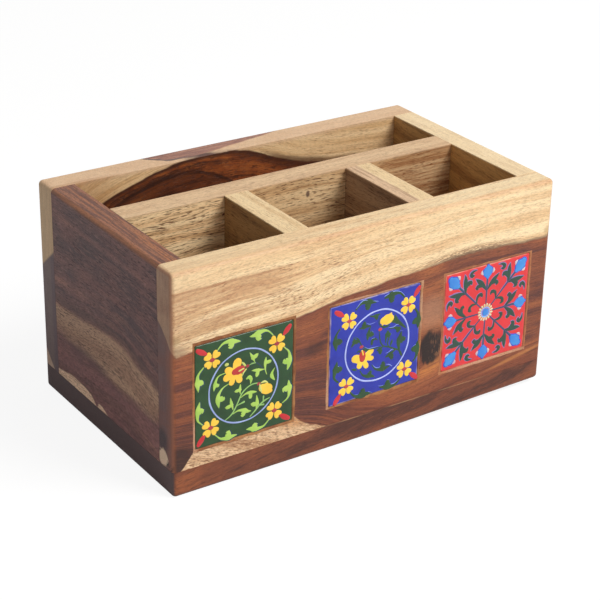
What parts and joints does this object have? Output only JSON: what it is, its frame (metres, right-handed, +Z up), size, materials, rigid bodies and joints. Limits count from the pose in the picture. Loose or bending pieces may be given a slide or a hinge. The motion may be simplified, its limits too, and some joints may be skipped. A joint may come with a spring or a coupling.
{
  "type": "cutlery holder",
  "caption": "Open-topped rectangular wooden cutlery holder with a long back compartment, small front compartments and square glazed tiles set into the front.",
  "frame": {"origin": "middle of the underside of the base board", "axes": "+X to the right of someone facing the tiles, along the long side; +Y from the tiled front to the back; +Z up, out of the open top"},
  "size_m": [0.21, 0.125, 0.109],
  "materials": {
    "base_wood": "lacquered dark rosewood heartwood",
    "front_wood": "lacquered rosewood, cream sapwood above and reddish heartwood below",
    "back_wood": "lacquered rosewood, golden with a dark arch of heartwood",
    "left_end_wood": "lacquered dark purple-brown rosewood heartwood",
    "right_end_wood": "lacquered rosewood sapwood",
    "long_divider_wood": "lacquered rosewood sapwood with brown streaks",
    "short_divider_wood": "lacquered rosewood sapwood",
    "green_glaze": "glossy glaze with a painted floral pattern",
    "blue_glaze": "glossy glaze with a painted floral pattern",
    "red_glaze": "glossy glaze with a painted floral pattern",
    "putty": "orange-brown wood putty, sanded",
    "adhesive": "cured tile adhesive",
    "dowel_wood": "bare hardwood dowel",
    "screw_steel": "zinc-plated steel"
  },
  "bodies": {
    "root": {"base_board": "base_wood", "front_panel": "front_wood", "back_panel": "back_wood", "left_end_panel": "left_end_wood", "right_end_panel": "right_end_wood", "long_divider": "long_divider_wood", "left_short_divider": "short_divider_wood", "right_short_divider": "short_divider_wood", "green_tile": "green_glaze", "blue_tile": "blue_glaze", "red_tile": "red_glaze", "green_putty_border": "putty", "blue_putty_border": "putty", "red_putty_border": "putty", "green_tile_bed": "adhesive", "blue_tile_bed": "adhesive", "red_tile_bed": "adhesive", "front_left_dowel_low": "dowel_wood", "front_left_dowel_high": "dowel_wood", "front_right_dowel_low": "dowel_wood", "front_right_dowel_high": "dowel_wood", "back_left_dowel_low": "dowel_wood", "back_left_dowel_high": "dowel_wood", "back_right_dowel_low": "dowel_wood", "back_right_dowel_high": "dowel_wood", "long_divider_left_dowel_low": "dowel_wood", "long_divider_left_dowel_high": "dowel_wood", "long_divider_right_dowel_low": "dowel_wood", "long_divider_right_dowel_high": "dowel_wood", "left_divider_front_dowel_low": "dowel_wood", "left_divider_front_dowel_high": "dowel_wood", "left_divider_back_dowel_low": "dowel_wood", "left_divider_back_dowel_high": "dowel_wood", "right_divider_front_dowel_low": "dowel_wood", "right_divider_front_dowel_high": "dowel_wood", "right_divider_back_dowel_low": "dowel_wood", "right_divider_back_dowel_high": "dowel_wood", "left_end_front_base_screw": "screw_steel", "left_end_back_base_screw": "screw_steel", "right_end_front_base_screw": "screw_steel", "right_end_back_base_screw": "screw_steel", "back_left_base_screw": "screw_steel", "back_middle_base_screw": "screw_steel", "back_right_base_screw": "screw_steel", "long_divider_left_base_screw": "screw_steel", "long_divider_right_base_screw": "screw_steel", "left_divider_base_screw": "screw_steel", "right_divider_base_screw": "screw_steel"}
  },
  "joints": []
}
